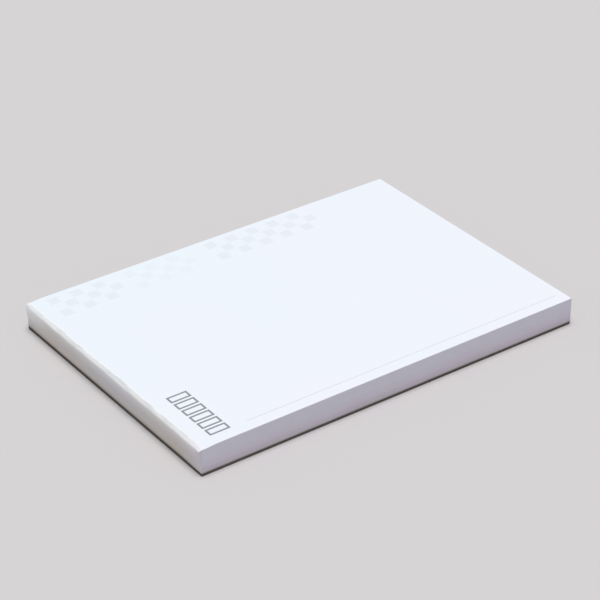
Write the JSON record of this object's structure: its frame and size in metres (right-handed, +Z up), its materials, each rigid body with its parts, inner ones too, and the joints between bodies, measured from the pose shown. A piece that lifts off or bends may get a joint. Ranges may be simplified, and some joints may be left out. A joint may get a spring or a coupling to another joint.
{
  "type": "note pad",
  "caption": "Glued white note pad: a thick block of sheets on a grey backing board, held by a bead of gum along its rolled head edge.",
  "frame": {"origin": "middle of the footprint, on the surface that the backing board rests on", "axes": "+Z up out of the writing face, +Y along the sheets' length towards the glued head, +X to the right of a reader who looks at the head"},
  "size_m": [0.148, 0.2118, 0.0142],
  "materials": {
    "paper": "matte",
    "board": "matte",
    "gum": "satin",
    "heading_ink": "matte",
    "pale_ink": "matte"
  },
  "bodies": {
    "root": {"sheet_block": "paper", "backing_board": "board", "gum_film": "gum"}
  },
  "joints": []
}
